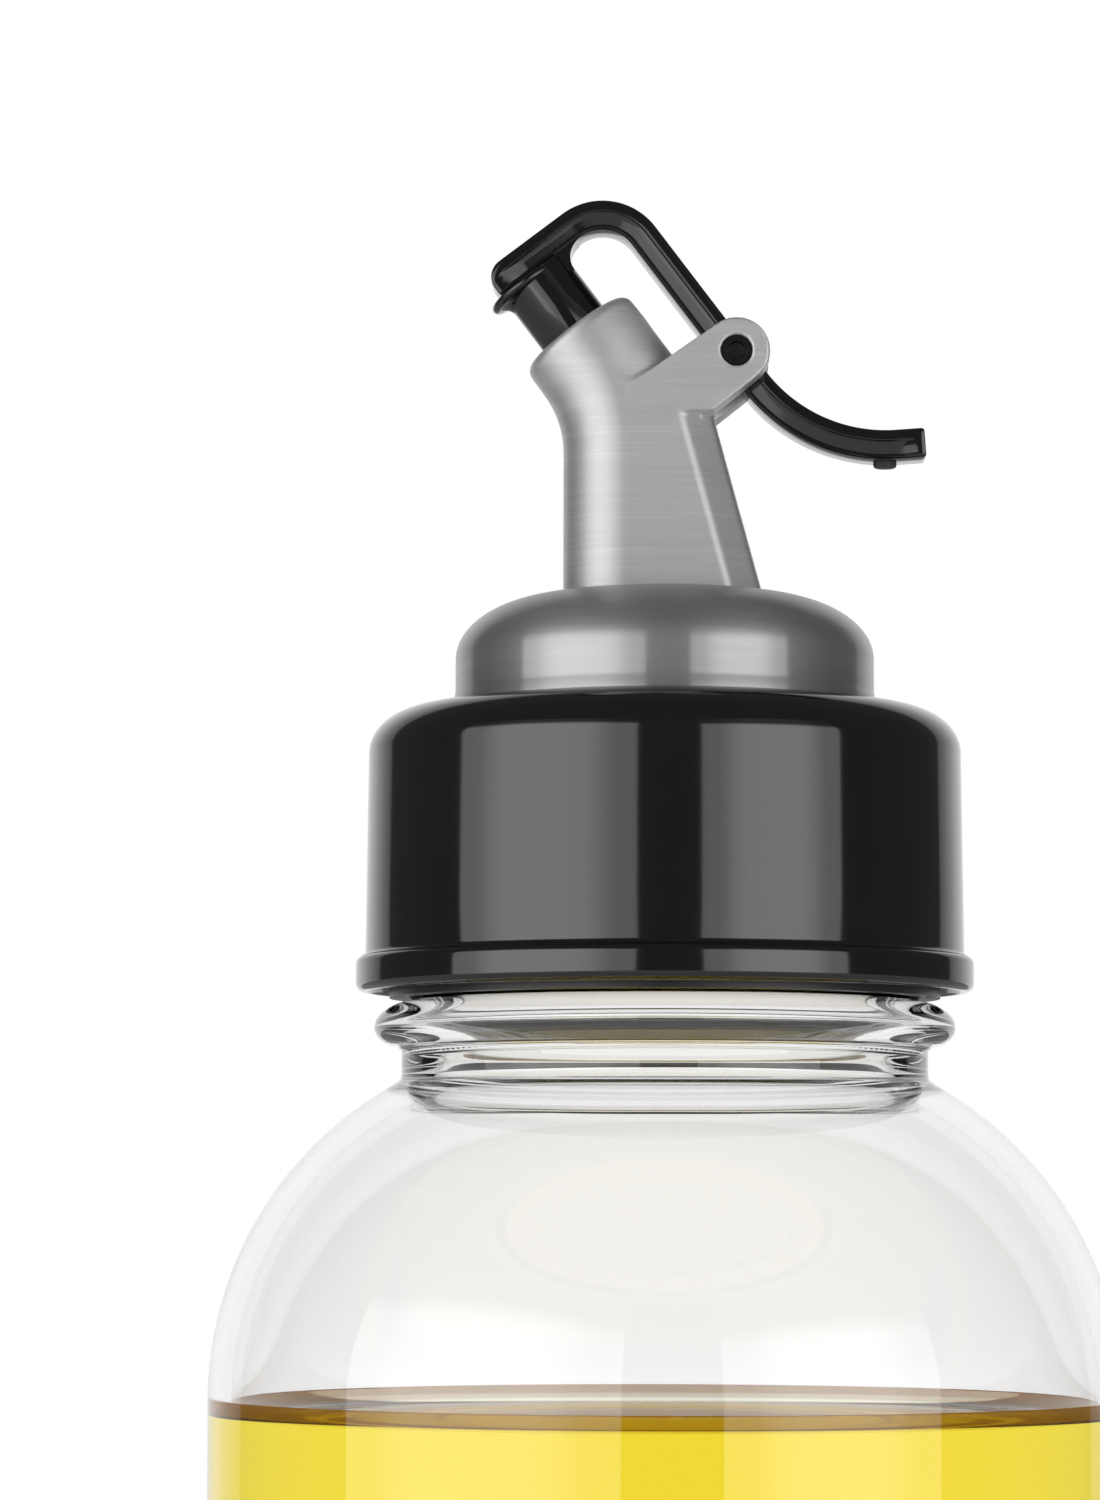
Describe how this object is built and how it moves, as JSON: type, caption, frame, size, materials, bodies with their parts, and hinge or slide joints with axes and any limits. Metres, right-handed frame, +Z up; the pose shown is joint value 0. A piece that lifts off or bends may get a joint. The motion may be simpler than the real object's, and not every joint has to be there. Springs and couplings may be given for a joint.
{
  "type": "lever pourer oil bottle",
  "caption": "Round glass cooking-oil bottle with a screw collar, a domed steel cap and a tilted spout that a thumb lever opens.",
  "frame": {"origin": "centre of the foot, on the table", "axes": "+Z up along the bottle's axis, -X towards the spout's mouth, -Y towards the viewer"},
  "size_m": [0.0906, 0.0906, 0.2345],
  "materials": {
    "clear_glass": "smooth, clear",
    "yellow_oil": "clear yellow liquid",
    "black_gloss": "polished black",
    "black_plastic": "satin black",
    "brushed_steel": "brushed level",
    "plain_steel": "plain",
    "dark_pin": "black oxide",
    "black_rubber": "soft, matt",
    "pale_rubber": "silicone",
    "pale_plastic": "satin, natural white"
  },
  "bodies": {
    "bottle": {"glass_bottle": "clear_glass", "oil_fill": "yellow_oil"},
    "pourer": {"pour_insert": "pale_plastic", "plug_seal": "pale_rubber", "neck_gasket": "pale_rubber", "dome_cover": "brushed_steel", "spout_body": "brushed_steel", "mouth_seat": "black_plastic", "spout_nut": "plain_steel", "lever_pin": "dark_pin", "lever_spring": "plain_steel"},
    "collar": {"collar_shell": "black_gloss", "thread_ring": "black_plastic"},
    "lever": {"lever_arm": "black_gloss", "stopper_plug": "black_gloss", "stopper_pad": "black_rubber", "tail_bumper": "black_rubber"}
  },
  "joints": [
    {"name": "pourer_lift", "type": "slide", "parent": "bottle", "child": "pourer", "axis": [0, 0, 1], "range_m": [0, 0.027]},
    {"name": "collar_turn", "type": "hinge", "parent": "pourer", "child": "collar", "pos_m": [0, 0, 0.17], "axis": [0, 0, 1], "range_deg": [0, 1625]},
    {"name": "lever_press", "type": "hinge", "parent": "pourer", "child": "lever", "pos_m": [0.0072, 0, 0.21854], "axis": [0, 1, 0], "range_deg": [0, 42], "stiffness_Nm_per_rad": 0.01, "springref_deg": -28.65}
  ],
  "couplings": [
    {"joint": "collar_turn", "follows": "pourer_lift", "rad_per_m": 1047.2}
  ]
}
